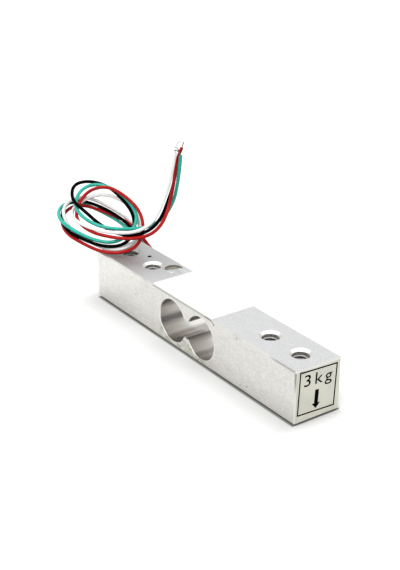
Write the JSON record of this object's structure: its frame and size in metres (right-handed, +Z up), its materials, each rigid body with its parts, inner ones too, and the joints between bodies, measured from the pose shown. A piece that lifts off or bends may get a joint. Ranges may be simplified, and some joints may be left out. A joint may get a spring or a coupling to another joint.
{
  "type": "bar load cell",
  "caption": "Square aluminium bar that senses weight by bending: a binocular opening leaves thin walls under sealed strain gauges, with tapped holes at both ends and loose leads.",
  "frame": {"origin": "bottom centre of the bar's box, leads left out, on the underside of the lower sealant", "axes": "+X along the bar towards the labelled end, +Y to the side where the leads leave, +Z up"},
  "size_m": [0.0981, 0.0274, 0.0406],
  "materials": {
    "bar_aluminium": "fine-milled, satin",
    "sealant": "white silicone, smooth",
    "potting": "brown-grey potting compound",
    "gauge_film": "amber film",
    "gauge_foil": "etched foil",
    "strip_laminate": "glass-cloth laminate",
    "copper": "plain copper",
    "solder": "bright solder",
    "enamelled_wire": "enamelled copper",
    "label_film": "printed white label",
    "red_insulation": "red insulation",
    "black_insulation": "black insulation",
    "green_insulation": "blue-green insulation",
    "white_insulation": "white insulation",
    "tinned_core": "tinned strands"
  },
  "bodies": {
    "root": {"beam": "bar_aluminium", "passage_sealant": "potting", "capacity_label": "label_film", "top_sealant": "sealant", "gauge_film_top_near": "gauge_film", "gauge_grid_top_near": "gauge_foil", "gauge_film_top_far": "gauge_film", "gauge_grid_top_far": "gauge_foil", "terminal_strip_top": "strip_laminate", "solder_pads_top": "copper", "solder_beads_top": "solder", "jumper_wires_top": "enamelled_wire", "link_wires_top": "enamelled_wire", "bottom_sealant": "sealant", "gauge_film_bottom_near": "gauge_film", "gauge_grid_bottom_near": "gauge_foil", "gauge_film_bottom_far": "gauge_film", "gauge_grid_bottom_far": "gauge_foil", "terminal_strip_bottom": "strip_laminate", "solder_pads_bottom": "copper", "solder_beads_bottom": "solder", "jumper_wires_bottom": "enamelled_wire", "link_wires_bottom": "enamelled_wire", "red_lead": "red_insulation", "red_lead_tip": "tinned_core", "black_lead": "black_insulation", "black_lead_tip": "tinned_core", "green_lead": "green_insulation", "green_lead_tip": "tinned_core", "white_lead": "white_insulation", "white_lead_tip": "tinned_core"}
  },
  "joints": []
}
